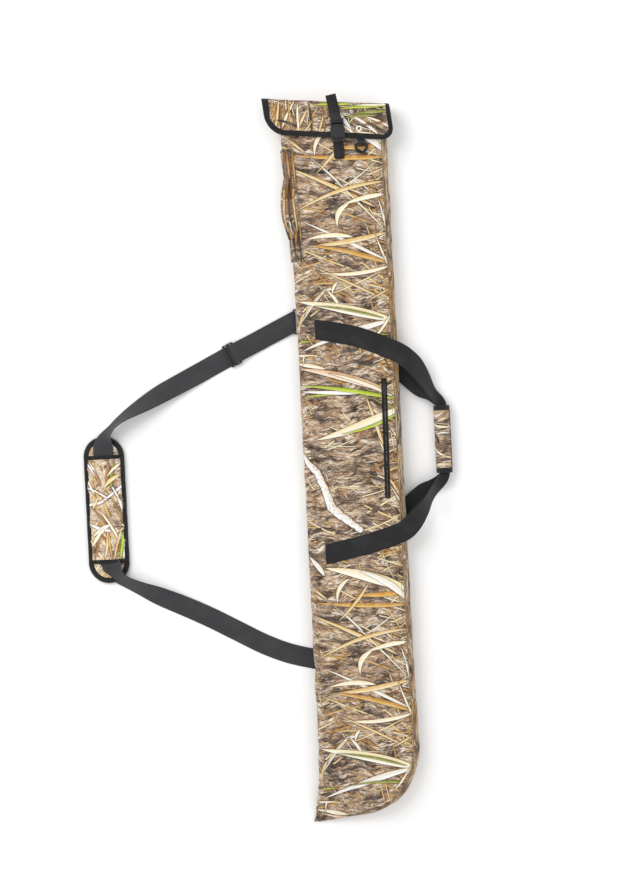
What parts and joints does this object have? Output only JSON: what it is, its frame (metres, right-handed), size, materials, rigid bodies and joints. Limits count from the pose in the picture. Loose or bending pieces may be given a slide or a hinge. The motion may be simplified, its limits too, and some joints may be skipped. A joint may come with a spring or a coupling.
{
  "type": "padded carry sleeve",
  "caption": "Long slim padded sleeve in reed camouflage, with a buckled mouth flap, zip pocket, wrapped carry handles and a padded shoulder strap.",
  "frame": {"origin": "middle of the flat back panel, which the bag lies on", "axes": "+Y along the bag from its bottom tip to its mouth, +X towards the carry handle, +Z out of the front panel"},
  "size_m": [0.7015, 1.3774, 0.0585],
  "materials": {
    "camo_fabric": null,
    "foam": "closed-cell foam padding",
    "lining": "smooth nylon lining",
    "binding": "grosgrain binding tape",
    "webbing": "matt polypropylene webbing",
    "moulded_plastic": "satin acetal",
    "zip_tape": "woven zip tape",
    "zip_hardware": "satin black",
    "grommet_metal": "pale enamel over brass"
  },
  "bodies": {
    "shell": {"front_panel": "camo_fabric", "back_panel": "camo_fabric", "gusset_right": "camo_fabric", "gusset_left": "camo_fabric", "foam_front": "foam", "foam_back": "foam", "foam_right": "foam", "foam_left": "foam", "lining": "lining", "mouth_binding": "binding", "zip_tapes": "zip_tape", "zip_coils": "zip_hardware", "zip_stops": "zip_hardware", "pocket_pouch": "lining", "grab_base": "camo_fabric", "grab_ends": "camo_fabric", "dring_tab": "webbing", "handle_web_front_sewn": "webbing", "socket_web_sewn": "webbing", "strap_ring_tab": "webbing", "strap_ring": "moulded_plastic", "strap_lower_root": "webbing"},
    "mouth_cover": {"flap_bridge": "camo_fabric"},
    "flap": {"flap_panel": "camo_fabric", "flap_binding": "binding", "grommet": "grommet_metal", "flap_web_anchor": "webbing"},
    "plug": {"buckle_plug": "moulded_plastic", "plug_web_tail": "webbing"},
    "prong_left": {"plug_prong_left": "moulded_plastic"},
    "prong_right": {"plug_prong_right": "moulded_plastic"},
    "socket": {"buckle_socket": "moulded_plastic", "socket_web": "webbing"},
    "zip_slider": {"zip_slider": "zip_hardware"},
    "zip_pull": {"zip_pull": "zip_hardware"},
    "dring": {"dring": "moulded_plastic"},
    "grab_handle": {"grab_loop": "camo_fabric"},
    "carry_handle": {"handle_loop_front": "webbing", "handle_loop_back": "webbing", "grip_base": "camo_fabric"},
    "grip_cover": {"grip_cover": "camo_fabric"},
    "shoulder_strap": {"strap_fold": "webbing", "strap_webbing": "webbing", "strap_return": "webbing"},
    "strap_slider": {"strap_slider": "moulded_plastic"},
    "shoulder_pad": {"pad_base": "camo_fabric", "pad_binding": "binding", "pad_cover": "camo_fabric", "pad_bands": "binding"}
  },
  "joints": [
    {"name": "cover_hinge", "type": "hinge", "parent": "shell", "child": "mouth_cover", "pos_m": [-0.01141, 0.68137, 0], "axis": [-0.9959, 0.0906, 0], "range_deg": [0, 80]},
    {"name": "flap_fold", "type": "hinge", "parent": "mouth_cover", "child": "flap", "pos_m": [-0.01141, 0.68137, 0.0452], "axis": [-0.9959, 0.0906, 0], "range_deg": [0, 80], "deforming": ["flap_panel", "flap_binding"]},
    {"name": "buckle_release", "type": "slide", "parent": "flap", "child": "plug", "axis": [-0.0262, 0.9997, 0], "range_m": [0, 0.022]},
    {"name": "prong_left_squeeze", "type": "hinge", "parent": "plug", "child": "prong_left", "pos_m": [-0.00668, 0.63034, 0.0532], "axis": [0, 0, 1], "range_deg": [0, 8], "stiffness_Nm_per_rad": 0.05, "deforming": ["plug_prong_left"]},
    {"name": "prong_right_squeeze", "type": "hinge", "parent": "plug", "child": "prong_right", "pos_m": [0.00851, 0.63074, 0.0532], "axis": [0, 0, -1], "range_deg": [0, 8], "stiffness_Nm_per_rad": 0.05, "deforming": ["plug_prong_right"]},
    {"name": "socket_swing", "type": "hinge", "parent": "shell", "child": "socket", "pos_m": [0.00189, 0.59315, 0.0445], "axis": [0.9997, 0.0262, 0], "range_deg": [0, 60]},
    {"name": "zip_slide", "type": "slide", "parent": "shell", "child": "zip_slider", "axis": [-0.0175, -0.9998, 0], "range_m": [0, 0.205]},
    {"name": "zip_pull_swing", "type": "hinge", "parent": "zip_slider", "child": "zip_pull", "pos_m": [0.06469, 0.1476, 0.0466], "axis": [-0.9998, 0.0175, 0], "range_deg": [0, 165]},
    {"name": "dring_swing", "type": "hinge", "parent": "shell", "child": "dring", "pos_m": [0.0445, 0.597, 0.0464], "axis": [-1, 0, 0], "range_deg": [0, 100]},
    {"name": "grab_handle_swing", "type": "hinge", "parent": "shell", "child": "grab_handle", "pos_m": [-0.0983, 0.484, 0.0349], "axis": [-0.0321, 0.9995, 0], "range_deg": [-20, 20], "deforming": ["grab_loop"]},
    {"name": "carry_handle_swing", "type": "hinge", "parent": "shell", "child": "carry_handle", "pos_m": [0.0769, 0.034, 0.04295], "axis": [0, -1, 0], "range_deg": [0, 95], "deforming": ["handle_loop_back"]},
    {"name": "grip_open", "type": "hinge", "parent": "carry_handle", "child": "grip_cover", "pos_m": [0.1565, 0.033, 0.014], "axis": [0, -1, 0], "range_deg": [0, 120]},
    {"name": "shoulder_strap_swing", "type": "hinge", "parent": "shell", "child": "shoulder_strap", "pos_m": [-0.0995, 0, 0.003], "axis": [0, 1, 0], "range_deg": [0, 90]},
    {"name": "strap_adjust", "type": "slide", "parent": "shoulder_strap", "child": "strap_slider", "axis": [-0.908, -0.4191, 0], "range_m": [-0.04, 0.04], "deforming": ["strap_return"]},
    {"name": "pad_slide", "type": "slide", "parent": "shoulder_strap", "child": "shoulder_pad", "axis": [0, 1, 0], "range_m": [0, 0.012]}
  ]
}
